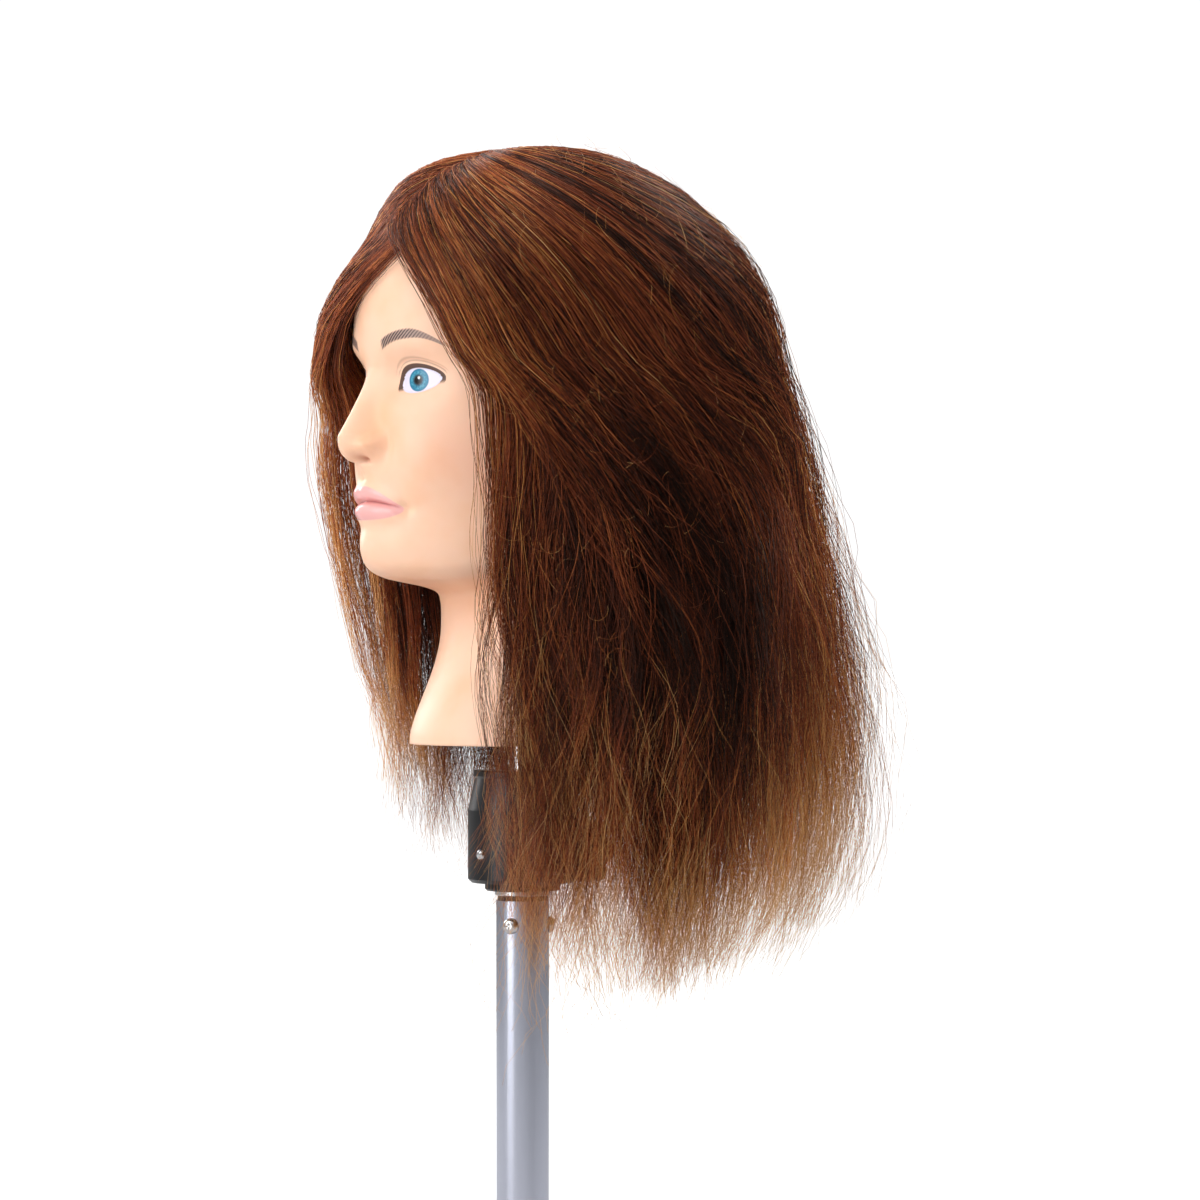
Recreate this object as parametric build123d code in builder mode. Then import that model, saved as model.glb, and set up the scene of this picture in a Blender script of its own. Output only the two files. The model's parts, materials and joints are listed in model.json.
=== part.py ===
from build123d import *
import math
import os

os.makedirs("parts", exist_ok=True)

# ---- mast -------------------------------------------------------------
MAST_R = 14.0
MAST_WALL = 1.5
MAST_TOP = 210.0
SPIGOT_R = 12.4
SPIGOT_LEN = 40.0
SCREW_Z = 197.0
SCREW_R = 2.0
SCREW_HEAD_R = 4.3
SCREW_HEAD_H = 3.0
SCREW_ANGLES = (36, 156, 276)
PLUG_BOTTOM = 176.0
BOSS_R = 8.0

# ---- yoke -------------------------------------------------------------
SEAL_R = 13.2
SEAL_TOP = 212.7
COLLAR_R = 14.6
COLLAR_TOP = 215.2
FLANGE_R = 20.0
FLANGE_TOP = 219.5
YOKE_R = 29.0
YOKE_SHOULDER = 258.0
YOKE_NECK_R = 25.2
YOKE_LIP_R = 26.0
YOKE_TOP = 279.0
YOKE_FLOOR = 224.6
YOKE_TURN = 12.0
SLOT_HALF = 13.6
PIVOT_Z = 235.0
STUD_R = 3.0
BOLT_R = 3.0
COUNTERSINK_R = 6.0

# ---- clamp knob, measured along the pivot from the mast's axis ---------
SPOTFACE = 26.5
WASHER_END = 28.0
SPRING_END = 29.4
KNOB_START = 29.8
KNOB_RIM = 34.0
KNOB_END = 50.0
KNOB_R = 18.0
LOBES = 6

# ---- knuckle and spindle ----------------------------------------------
KNUCKLE_HALF = 12.0
KNUCKLE_R = 10.0
KNUCKLE_TOP = 264.0
BUSH_R = 5.0
POST_R = 7.0
SPINDLE_R = 6.0
SHOULDER_Z = 292.0
SPINDLE_TOP = 364.0
RUNNING_GAP = 0.05

# ---- mandrel and neck socket -------------------------------------------
CONE_Z = 293.5
CONE_TOP = 366.0
CONE_R = 18.0
CONE_SLOPE = 0.0644
CONE_BORE_R = 9.5
SOCKET_GAP = 0.6
SOCKET_WALL = 3.0
NECK_Z = 293.0
PLATE_TOP = 297.0
PLATE_R = 55.15

# ---- head and hair ------------------------------------------------------
SKIN = 3.5
HAIR_GAP = 0.4
CLEAR_R = 62.0
# height, half width, front reach, back reach, roundness of the front half
HEAD = (
    (293, 60, 60, 60, 2.0),
    (310, 57.5, 57.5, 58, 2.0),
    (330, 55.5, 54.5, 58, 2.0),
    (350, 56.5, 51, 64, 2.0),
    (364, 59.5, 56, 72, 1.95),
    (376, 63, 76, 78, 1.75),
    (388, 66, 90, 84, 1.62),
    (404, 69, 95.5, 89, 1.6),
    (424, 72, 97, 93, 1.68),
    (444, 74, 94.5, 96, 1.78),
    (466, 76, 91.5, 98.5, 1.88),
    (490, 77.5, 90.5, 99.5, 1.97),
    (512, 77.5, 92, 99, 2.0),
    (534, 75.5, 89.5, 95.5, 2.0),
    (554, 69, 79.5, 87.5, 2.0),
    (572, 58, 64, 75, 2.0),
    (586, 43, 45, 57, 2.0),
    (596, 24, 23, 34, 2.0),
)
NOSE = (
    (441, 13.0, 90.0, 11.0),
    (447, 16.0, 88.0, 17.0),
    (455, 14.5, 87.0, 21.0),
    (464, 10.0, 86.0, 18.5),
    (476, 7.0, 85.0, 11.5),
    (489, 5.0, 83.0, 8.0),
)
HAIR = (
    (155, 84, 22, 116, 2.0),
    (180, 96, 38, 142, 2.1),
    (205, 104, 54, 170, 2.3),
    (230, 109, 66, 194, 2.6),
    (260, 112, 74, 206, 2.8),
    (295, 113, 80, 208, 3.0),
    (330, 111, 84, 203, 3.0),
    (370, 108, 89, 193, 3.1),
    (410, 105, 94, 179, 3.2),
    (455, 102, 98, 164, 3.1),
    (497, 99, 101, 147, 3.0),
    (530, 95, 100, 134, 2.7),
    (558, 87, 92, 118, 2.4),
    (580, 74, 78, 98, 2.2),
    (598, 50, 50, 68, 2.0),
    (609, 22, 20, 34, 2.0),
)
# room inside the falling hair, behind the neck
HOLLOW = (
    (120, 40, 10, 78, 2.0),
    (170, 56, 10, 96, 2.0),
    (210, 70, 10, 130, 2.0),
    (250, 80, 10, 160, 2.0),
    (290, 84, 10, 170, 2.0),
    (330, 83, 10, 164, 2.0),
    (370, 76, 10, 142, 2.0),
    (400, 64, 10, 112, 2.0),
    (420, 48, 10, 84, 2.0),
)
SLICES = 30
INSIDE = HEAD[:-1] + ((HEAD[-1][0] - SKIN, 27, 26, 38, 2.0),)
HAIRLINE = (
    (-77, 100), (77, 100), (77, 462), (70, 492), (56, 524), (28, 550), (4, 562),
    (-28, 550), (-56, 524), (-70, 492), (-77, 462),
)
TIPS = ((-120, 250), (-78, 232), (-55, 205), (-20, 176), (20, 166), (95, 166), (150, 198), (200, 240), (230, 60), (-120, 60))
CROWN_Z = 500.0
BACK_Y = 40.0

turn = math.radians(YOKE_TURN)
across = Vector(math.cos(turn), math.sin(turn), 0)
rearward = Vector(-math.sin(turn), math.cos(turn), 0)


def pivot_plane(reach):
    """Plane square to the pivot, this far behind the mast's axis, looking along the pivot."""
    return Plane(origin=rearward * reach + Vector(0, 0, PIVOT_Z), x_dir=across, z_dir=rearward)


def level_plane(height):
    """Level plane turned with the yoke."""
    return Plane(origin=(0, 0, height), x_dir=across, z_dir=(0, 0, 1))


def radial_plane(angle, height):
    """Plane on the mast's axis whose normal points out at this angle from the front."""
    a = math.radians(angle)
    return Plane(origin=(0, 0, height), x_dir=(math.cos(a), math.sin(a), 0), z_dir=(math.sin(a), -math.cos(a), 0))


def turned(points):
    """Solid of revolution about the mast's axis from (radius, height) corners."""
    with BuildSketch(Plane.XZ) as outline:
        with BuildLine():
            Polyline(*points, close=True)
        make_face()
    revolve(outline.sketch, axis=Axis.Z)


def pivot_turned(points):
    """Solid of revolution about the pivot from (radius, reach) corners."""
    plane = Plane(origin=(0, 0, PIVOT_Z), x_dir=(0, 0, -1), z_dir=across)
    with BuildSketch(plane) as outline:
        with BuildLine():
            Polyline(*points, close=True)
        make_face()
    revolve(outline.sketch, axis=Axis(origin=(0, 0, PIVOT_Z), direction=rearward))


def oval(height, half, front, back, power, grow, count=20):
    """One level outline: a blunt front half and a round back half."""
    points = []
    for i in range(count):
        a = 2 * math.pi * i / count
        c, s = math.cos(a), math.sin(a)
        n = power if s > 0 else 2.0
        x = (half + grow) * math.copysign(abs(c) ** (2 / n), c)
        reach = (front if s > 0 else back) + grow
        points.append((x, -reach * math.copysign(abs(s) ** (2 / n), s)))
    with BuildSketch(Plane.XY.offset(height)) as outline:
        with BuildLine():
            Spline(*points, periodic=True)
        make_face()
    return outline.sketch


def level(table, height):
    """The outline's numbers at this height, on a smooth curve through the table's rows."""
    i = max(j for j in range(len(table) - 1) if table[j][0] <= height + 1e-9)
    low, high = table[i], table[i + 1]
    before = table[max(i - 1, 0)]
    after = table[min(i + 2, len(table) - 1)]
    span = high[0] - low[0]
    t = (height - low[0]) / span
    values = []
    for k in range(1, 5):
        rise_low = span * (high[k] - before[k]) / (high[0] - before[0])
        rise_high = span * (after[k] - low[k]) / (after[0] - low[0])
        values.append(
            (2 * t**3 - 3 * t**2 + 1) * low[k] + (t**3 - 2 * t**2 + t) * rise_low
            + (3 * t**2 - 2 * t**3) * high[k] + (t**3 - t**2) * rise_high
        )
    return values


def body(table, grow, bottom=None, mode=Mode.ADD):
    """Loft through a table of outlines, grown or shrunk all round, in slices that thin out towards the top."""
    start = table[0][0] if bottom is None else bottom
    stop = table[-1][0]
    outlines = []
    for i in range(SLICES + 1):
        height = start + (stop - start) * math.sin(math.pi / 2 * i / SLICES)
        outlines.append(oval(height, *level(table, height), grow))
    loft(outlines, ruled=True, mode=mode)


def cone_r(height):
    return CONE_R - CONE_SLOPE * (height - CONE_Z)


# ======================= stand =======================
with BuildPart() as mast_tube:
    inner = MAST_R - MAST_WALL
    swage = SPIGOT_R - MAST_WALL
    turned([
        (swage, 0), (SPIGOT_R, 0), (SPIGOT_R, SPIGOT_LEN), (MAST_R, SPIGOT_LEN + 3),
        (MAST_R, MAST_TOP), (inner, MAST_TOP), (inner, SPIGOT_LEN + 6), (swage, SPIGOT_LEN + 3),
    ])
    for angle in SCREW_ANGLES:
        with BuildSketch(radial_plane(angle, SCREW_Z)):
            Circle(SCREW_R + 0.1)
        extrude(amount=MAST_R + 2, mode=Mode.SUBTRACT)
mast_tube.part.label = "mast_tube"
export_step(mast_tube.part, "parts/mast_tube.step")

with BuildPart() as mast_end_plug:
    turned([(0, 0.5), (SPIGOT_R - MAST_WALL - 0.02, 0.5), (SPIGOT_R - MAST_WALL - 0.02, 12), (8, 12), (8, 3), (0, 3)])
mast_end_plug.part.label = "mast_end_plug"
export_step(mast_end_plug.part, "parts/mast_end_plug.step")

with BuildPart() as mast_plug:
    turned([
        (0, PLUG_BOTTOM), (MAST_R - MAST_WALL - 1, PLUG_BOTTOM), (MAST_R - MAST_WALL - 0.02, PLUG_BOTTOM + 1),
        (MAST_R - MAST_WALL - 0.02, MAST_TOP), (BOSS_R, MAST_TOP), (BOSS_R, FLANGE_TOP - 0.1), (0, FLANGE_TOP - 0.1),
    ])
    with BuildSketch(Plane.XY.offset(190)):
        Circle(BOLT_R)
    extrude(amount=40, mode=Mode.SUBTRACT)
    for angle in SCREW_ANGLES:
        with BuildSketch(radial_plane(angle, SCREW_Z).offset(5)):
            Circle(SCREW_R)
        extrude(amount=10, mode=Mode.SUBTRACT)
mast_plug.part.label = "mast_plug"
export_step(mast_plug.part, "parts/mast_plug.step")

with BuildPart() as mast_screws:
    for angle in SCREW_ANGLES:
        with BuildSketch(radial_plane(angle, SCREW_Z).offset(5.5)):
            Circle(SCREW_R)
        extrude(amount=MAST_R + 0.6 - 5.5)
        with BuildSketch(radial_plane(angle, SCREW_Z).offset(MAST_R + 0.05)) as seat:
            Circle(SCREW_HEAD_R)
        extrude(amount=0.8)
        with BuildSketch(radial_plane(angle, SCREW_Z).offset(MAST_R + 0.85)):
            Circle(SCREW_HEAD_R)
        with BuildSketch(radial_plane(angle, SCREW_Z).offset(MAST_R + 2.2)):
            Circle(SCREW_HEAD_R * 0.8)
        with BuildSketch(radial_plane(angle, SCREW_Z).offset(MAST_R + SCREW_HEAD_H)):
            Circle(SCREW_HEAD_R * 0.42)
        loft()
        with BuildSketch(radial_plane(angle, SCREW_Z).offset(MAST_R + SCREW_HEAD_H - 1.2)):
            Rectangle(3.4, 0.8)
            Rectangle(0.8, 3.4)
        extrude(amount=2, mode=Mode.SUBTRACT)
mast_screws.part.label = "mast_screws"
export_step(mast_screws.part, "parts/mast_screws.step")

with BuildPart() as seal_ring:
    turned([
        (BOSS_R + 0.05, MAST_TOP), (SEAL_R, MAST_TOP), (SEAL_R, SEAL_TOP), (BOSS_R + 0.05, SEAL_TOP),
    ])
seal_ring.part.label = "seal_ring"
export_step(seal_ring.part, "parts/seal_ring.step")

with BuildPart() as collar_ring:
    turned([
        (BOSS_R + 0.05, SEAL_TOP), (COLLAR_R - 0.4, SEAL_TOP), (COLLAR_R, SEAL_TOP + 0.4),
        (COLLAR_R, COLLAR_TOP), (BOSS_R + 0.05, COLLAR_TOP),
    ])
collar_ring.part.label = "collar_ring"
export_step(collar_ring.part, "parts/collar_ring.step")

with BuildPart() as yoke_flange:
    turned([
        (BOSS_R + 0.05, COLLAR_TOP), (FLANGE_R - 1, COLLAR_TOP), (FLANGE_R, COLLAR_TOP + 1),
        (FLANGE_R, FLANGE_TOP), (BOSS_R + 0.05, FLANGE_TOP),
    ])
yoke_flange.part.label = "yoke_flange"
export_step(yoke_flange.part, "parts/yoke_flange.step")

with BuildPart() as yoke:
    turned([
        (0, FLANGE_TOP), (YOKE_R - 2, FLANGE_TOP), (YOKE_R, FLANGE_TOP + 2), (YOKE_R, YOKE_SHOULDER),
        (YOKE_NECK_R, YOKE_TOP - 4), (YOKE_LIP_R, YOKE_TOP - 3), (YOKE_LIP_R, YOKE_TOP - 0.8),
        (YOKE_LIP_R - 0.8, YOKE_TOP), (0, YOKE_TOP),
    ])
    with BuildSketch(level_plane(YOKE_FLOOR)):
        Rectangle(4 * YOKE_R, 2 * SLOT_HALF)
    extrude(amount=YOKE_TOP, mode=Mode.SUBTRACT)
    with BuildSketch(Plane.XY.offset(FLANGE_TOP)):
        Circle(BOLT_R + 0.1)
    extrude(amount=10, mode=Mode.SUBTRACT)
    with BuildSketch(Plane.XY.offset(YOKE_FLOOR - 3)):
        Circle(BOLT_R + 0.1)
    with BuildSketch(Plane.XY.offset(YOKE_FLOOR)):
        Circle(COUNTERSINK_R + 0.1)
    loft(mode=Mode.SUBTRACT)
    with BuildSketch(pivot_plane(-YOKE_R - 5)):
        Circle(STUD_R + 0.1)
    extrude(amount=2 * YOKE_R + 10, mode=Mode.SUBTRACT)
    with BuildSketch(pivot_plane(-SLOT_HALF - 4)):
        RegularPolygon(5.6, 6)
    extrude(amount=6, mode=Mode.SUBTRACT)
    with BuildSketch(pivot_plane(SPOTFACE)):
        Circle(10)
    extrude(amount=8, mode=Mode.SUBTRACT)
yoke.part.label = "yoke"
export_step(yoke.part, "parts/yoke.step")

with BuildPart() as yoke_bolt:
    turned([(0, 194), (BOLT_R, 194), (BOLT_R, YOKE_FLOOR - 3), (COUNTERSINK_R, YOKE_FLOOR), (0, YOKE_FLOOR)])
    with BuildSketch(Plane.XY.offset(YOKE_FLOOR - 2)):
        RegularPolygon(2.3, 6)
    extrude(amount=4, mode=Mode.SUBTRACT)
yoke_bolt.part.label = "yoke_bolt"
export_step(yoke_bolt.part, "parts/yoke_bolt.step")

with BuildPart() as pivot_stud:
    pivot_turned([
        (0, -YOKE_R - 2), (1.4, -YOKE_R - 1.7), (2.4, -YOKE_R - 0.9), (STUD_R, -YOKE_R + 0.3),
        (STUD_R, 45.2), (STUD_R - 0.8, 46), (0, 46),
    ])
    with BuildSketch(pivot_plane(-SLOT_HALF - 4)):
        RegularPolygon(5.5, 6)
    extrude(amount=3.9)
pivot_stud.part.label = "pivot_stud"
export_step(pivot_stud.part, "parts/pivot_stud.step")

with BuildPart() as knob_washer:
    with BuildSketch(pivot_plane(SPOTFACE)):
        Circle(9)
        Circle(STUD_R + 0.1, mode=Mode.SUBTRACT)
    extrude(amount=WASHER_END - SPOTFACE)
knob_washer.part.label = "knob_washer"
export_step(knob_washer.part, "parts/knob_washer.step")

with BuildPart() as disc_spring:
    pivot_turned([
        (STUD_R + 0.1, WASHER_END + 0.6), (8.4, WASHER_END), (8.6, WASHER_END + 0.8), (STUD_R + 0.3, SPRING_END),
    ])
disc_spring.part.label = "disc_spring"
export_step(disc_spring.part, "parts/disc_spring.step")

# ======================= clamp knob =======================
with BuildPart() as clamp_knob:
    with BuildSketch(pivot_plane(KNOB_START)):
        Circle(9)
    extrude(amount=KNOB_RIM - KNOB_START + 1)
    with BuildSketch(pivot_plane(KNOB_RIM)):
        Circle(13.5)
        with PolarLocations(KNOB_R - 5, LOBES):
            Circle(5)
    extrude(amount=KNOB_END - KNOB_RIM)
    rims = clamp_knob.edges().filter_by(lambda e: abs((e.center() - Vector(0, 0, PIVOT_Z)).dot(rearward) - KNOB_END) < 0.01)
    fillet(rims, radius=1.5)
    with BuildSketch(pivot_plane(KNOB_START - 1)):
        Circle(6)
    extrude(amount=45 - KNOB_START, mode=Mode.SUBTRACT)
    with BuildSketch(pivot_plane(40)):
        Circle(STUD_R + 0.4)
    extrude(amount=7, mode=Mode.SUBTRACT)
    with BuildSketch(pivot_plane(KNOB_END - 1.5)):
        Circle(9)
    extrude(amount=3, mode=Mode.SUBTRACT)
clamp_knob.part.label = "clamp_knob"
export_step(clamp_knob.part, "parts/clamp_knob.step")

with BuildPart() as knob_insert:
    with BuildSketch(pivot_plane(KNOB_START)):
        Circle(6)
        Circle(STUD_R + RUNNING_GAP, mode=Mode.SUBTRACT)
    extrude(amount=44 - KNOB_START)
knob_insert.part.label = "knob_insert"
export_step(knob_insert.part, "parts/knob_insert.step")

with BuildPart() as knob_cap:
    with BuildSketch(pivot_plane(KNOB_END - 1.5)):
        Circle(8.95)
    extrude(amount=1.9)
knob_cap.part.label = "knob_cap"
export_step(knob_cap.part, "parts/knob_cap.step")

# ======================= knuckle =======================
with BuildPart() as tilt_knuckle:
    with BuildSketch(pivot_plane(-KNUCKLE_HALF)):
        Circle(KNUCKLE_R)
        with Locations((0, -(KNUCKLE_TOP - PIVOT_Z) / 2)):
            Rectangle(2 * KNUCKLE_R, KNUCKLE_TOP - PIVOT_Z)
    extrude(amount=2 * KNUCKLE_HALF)
    with BuildSketch(pivot_plane(-KNUCKLE_HALF)):
        Circle(BUSH_R)
    extrude(amount=2 * KNUCKLE_HALF, mode=Mode.SUBTRACT)
    with BuildSketch(Plane.XY.offset(242)):
        Circle(POST_R)
    extrude(amount=60, mode=Mode.SUBTRACT)
    with BuildSketch(pivot_plane(-KNUCKLE_HALF)):
        with Locations((0, -19)):
            Circle(1.5)
    extrude(amount=2 * KNUCKLE_HALF, mode=Mode.SUBTRACT)
tilt_knuckle.part.label = "tilt_knuckle"
export_step(tilt_knuckle.part, "parts/tilt_knuckle.step")

with BuildPart() as pivot_bush:
    with BuildSketch(pivot_plane(-KNUCKLE_HALF)):
        Circle(BUSH_R)
        Circle(STUD_R + RUNNING_GAP, mode=Mode.SUBTRACT)
    extrude(amount=2 * KNUCKLE_HALF)
pivot_bush.part.label = "pivot_bush"
export_step(pivot_bush.part, "parts/pivot_bush.step")

with BuildPart() as friction_washers:
    for start in (-KNUCKLE_HALF - 1.2, KNUCKLE_HALF):
        with BuildSketch(pivot_plane(start)):
            Circle(9)
            Circle(STUD_R + RUNNING_GAP, mode=Mode.SUBTRACT)
        extrude(amount=1.2)
friction_washers.part.label = "friction_washers"
export_step(friction_washers.part, "parts/friction_washers.step")

with BuildPart() as spindle:
    turned([
        (0, 242), (POST_R, 242), (POST_R, SHOULDER_Z), (SPINDLE_R, SHOULDER_Z), (SPINDLE_R, 360.4),
        (SPINDLE_R - 0.8, 360.4), (SPINDLE_R - 0.8, 361.6), (SPINDLE_R, 361.6), (SPINDLE_R, SPINDLE_TOP - 1),
        (SPINDLE_R - 1, SPINDLE_TOP), (0, SPINDLE_TOP),
    ])
    with BuildSketch(pivot_plane(-KNUCKLE_HALF)):
        with Locations((0, -19)):
            Circle(1.5)
    extrude(amount=2 * KNUCKLE_HALF, mode=Mode.SUBTRACT)
spindle.part.label = "spindle"
export_step(spindle.part, "parts/spindle.step")

with BuildPart() as spindle_pin:
    with BuildSketch(pivot_plane(-KNUCKLE_HALF + 0.5)):
        with Locations((0, -19)):
            Circle(1.5)
    extrude(amount=2 * KNUCKLE_HALF - 1)
spindle_pin.part.label = "spindle_pin"
export_step(spindle_pin.part, "parts/spindle_pin.step")

with BuildPart() as thrust_washer:
    turned([(SPINDLE_R, SHOULDER_Z), (9, SHOULDER_Z), (9, CONE_Z - 0.4), (SPINDLE_R, CONE_Z - 0.4)])
thrust_washer.part.label = "thrust_washer"
export_step(thrust_washer.part, "parts/thrust_washer.step")

with BuildPart() as retaining_ring:
    with BuildSketch(Plane.XY.offset(360.4)):
        Circle(8.4)
        Circle(SPINDLE_R - 0.8, mode=Mode.SUBTRACT)
        with Locations((8, 0)):
            Rectangle(10, 5, mode=Mode.SUBTRACT)
    extrude(amount=1.2)
retaining_ring.part.label = "retaining_ring"
export_step(retaining_ring.part, "parts/retaining_ring.step")

# ======================= mandrel =======================
GROOVES = (310.0, 346.0)
GROOVE_H = 3.0
with BuildPart() as mandrel_cone:
    turned([
        (CONE_BORE_R, CONE_Z), (CONE_R - 0.8, CONE_Z), (CONE_R, CONE_Z + 0.8), (cone_r(CONE_TOP), CONE_TOP),
        (CONE_BORE_R, CONE_TOP),
    ])
    for z in GROOVES:
        with BuildSketch(Plane.XZ):
            with BuildLine():
                Polyline(
                    (cone_r(z) - 1.2, z), (cone_r(z) + 2, z), (cone_r(z) + 2, z + GROOVE_H),
                    (cone_r(z) - 1.2, z + GROOVE_H), close=True,
                )
            make_face()
        revolve(axis=Axis.Z, mode=Mode.SUBTRACT)
mandrel_cone.part.label = "mandrel_cone"
export_step(mandrel_cone.part, "parts/mandrel_cone.step")

with BuildPart() as grip_rings:
    for z in GROOVES:
        turned([
            (cone_r(z) - 1.2, z), (cone_r(z) - 0.2, z), (cone_r(z) + 0.2, z + 0.6),
            (cone_r(z) + 0.1, z + GROOVE_H - 0.6), (cone_r(z) - 0.4, z + GROOVE_H), (cone_r(z) - 1.2, z + GROOVE_H),
        ])
grip_rings.part.label = "grip_rings"
export_step(grip_rings.part, "parts/grip_rings.step")

with BuildPart() as mandrel_bush:
    turned([
        (SPINDLE_R + RUNNING_GAP, CONE_Z), (CONE_BORE_R, CONE_Z), (CONE_BORE_R, 360), (SPINDLE_R + RUNNING_GAP, 360),
    ])
mandrel_bush.part.label = "mandrel_bush"
export_step(mandrel_bush.part, "parts/mandrel_bush.step")

with BuildPart() as mandrel_cap:
    cap_r = cone_r(CONE_TOP)
    turned([
        (0, CONE_TOP - 1), (CONE_BORE_R - 0.02, CONE_TOP - 1), (CONE_BORE_R - 0.02, CONE_TOP), (cap_r, CONE_TOP),
        (cap_r - 0.8, CONE_TOP + 3), (0, CONE_TOP + 3),
    ])
mandrel_cap.part.label = "mandrel_cap"
export_step(mandrel_cap.part, "parts/mandrel_cap.step")

# ======================= head =======================
SOCKET_TOP = CONE_TOP + 5
FLANGE_Z = 303.0
with BuildPart() as neck_socket:
    gap = SOCKET_GAP
    wall = SOCKET_GAP + SOCKET_WALL
    turned([
        (cone_r(NECK_Z) + gap, NECK_Z), (22, NECK_Z), (22, PLATE_TOP), (32, PLATE_TOP), (32, FLANGE_Z),
        (cone_r(FLANGE_Z) + wall, FLANGE_Z), (cone_r(SOCKET_TOP) + wall, SOCKET_TOP), (10, SOCKET_TOP + 3),
        (0, SOCKET_TOP + 3), (0, SOCKET_TOP), (cone_r(SOCKET_TOP) + gap, SOCKET_TOP),
    ])
    with BuildSketch(Plane.XY.offset(PLATE_TOP)):
        with PolarLocations(27, 3, start_angle=90):
            Circle(1.6)
    extrude(amount=5, mode=Mode.SUBTRACT)
neck_socket.part.label = "neck_socket"
export_step(neck_socket.part, "parts/neck_socket.step")

with BuildPart() as base_plate:
    turned([(22.05, NECK_Z), (PLATE_R - 0.5, NECK_Z), (PLATE_R, NECK_Z + 0.5), (PLATE_R, PLATE_TOP), (22.05, PLATE_TOP)])
    with BuildSketch(Plane.XY.offset(NECK_Z - 1)):
        with PolarLocations(27, 3, start_angle=90):
            Circle(1.7)
    extrude(amount=10, mode=Mode.SUBTRACT)
    with BuildSketch(Plane.XY.offset(NECK_Z - 1)):
        with PolarLocations(27, 3, start_angle=90):
            Circle(3.6)
    extrude(amount=3.4, mode=Mode.SUBTRACT)
base_plate.part.label = "base_plate"
export_step(base_plate.part, "parts/base_plate.step")

with BuildPart() as base_screws:
    with BuildSketch(Plane.XY.offset(NECK_Z + 0.4)):
        with PolarLocations(27, 3, start_angle=90):
            Circle(3.5)
    extrude(amount=2)
    with BuildSketch(Plane.XY.offset(NECK_Z + 2)):
        with PolarLocations(27, 3, start_angle=90):
            Circle(1.6)
    extrude(amount=6.5)
    with BuildSketch(Plane.XY.offset(NECK_Z + 0.4)):
        with PolarLocations(27, 3, start_angle=90):
            Rectangle(3.6, 0.8)
            Rectangle(0.8, 3.6)
    extrude(amount=1, mode=Mode.SUBTRACT)
base_screws.part.label = "base_screws"
export_step(base_screws.part, "parts/base_screws.step")

with BuildPart() as head_skin:
    body(HEAD, 0)
    for height, half, centre, depth in NOSE:
        with BuildSketch(Plane.XY.offset(height)):
            with Locations((0, -centre)):
                Ellipse(half, depth)
    loft()
    body(INSIDE, -SKIN, bottom=PLATE_TOP - 1.5, mode=Mode.SUBTRACT)
    with BuildSketch(Plane.XY.offset(NECK_Z - 1)):
        Circle(PLATE_R + 0.05)
    extrude(amount=PLATE_TOP - NECK_Z + 1, mode=Mode.SUBTRACT)
head_skin.part.label = "head_skin"
export_step(head_skin.part, "parts/head_skin.step")


# the whole mass of hair: hollow, open at the face, clear of the neck and holder, ragged at the tips
with BuildPart() as all_hair:
    body(HAIR, 0)
    body(HEAD, HAIR_GAP, mode=Mode.SUBTRACT)
    body(HOLLOW, 0, mode=Mode.SUBTRACT)
    with BuildSketch(Plane.XY.offset(100)) as neck_room:
        Circle(CLEAR_R)
    extrude(neck_room.sketch, amount=290, mode=Mode.SUBTRACT)
    with BuildSketch(Plane.XZ.offset(20)) as face:
        with BuildLine():
            Polyline(*HAIRLINE, close=True)
        make_face()
    extrude(face.sketch, amount=160, mode=Mode.SUBTRACT)
    with BuildSketch(Plane.YZ.offset(-150)) as tips:
        with BuildLine():
            Polyline(*TIPS, close=True)
        make_face()
    extrude(tips.sketch, amount=300, mode=Mode.SUBTRACT)


def keep(corner, size):
    """Keep only what lies in this box."""
    with BuildSketch(Plane.XY.offset(corner[2])) as area:
        with Locations((corner[0] + size[0] / 2, corner[1] + size[1] / 2)):
            Rectangle(size[0], size[1])
    extrude(area.sketch, amount=size[2], mode=Mode.INTERSECT)


with BuildPart() as hair_crown:
    add(all_hair.part)
    keep((-200, -200, CROWN_Z), (400, 500, 200))
hair_crown.part.label = "hair_crown"
export_step(hair_crown.part, "parts/hair_crown.step")

with BuildPart() as hair_left:
    add(all_hair.part)
    keep((0, -200, 0), (200, 200 + BACK_Y, CROWN_Z))
hair_left.part.label = "hair_left"
export_step(hair_left.part, "parts/hair_left.step")

with BuildPart() as hair_right:
    add(all_hair.part)
    keep((-200, -200, 0), (200, 200 + BACK_Y, CROWN_Z))
hair_right.part.label = "hair_right"
export_step(hair_right.part, "parts/hair_right.step")

with BuildPart() as hair_back:
    add(all_hair.part)
    keep((-200, BACK_Y, 0), (400, 300, CROWN_Z))
hair_back.part.label = "hair_back"
export_step(hair_back.part, "parts/hair_back.step")
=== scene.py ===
"""A hairdressing training head on its tilting holder: the looks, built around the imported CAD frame.

Lengths are in millimetres in the shape code and are turned into metres where a mesh is made.
The face looks along -Y, the head's own left is +X and the mast stands on +Z.
"""

import json
import math

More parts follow.
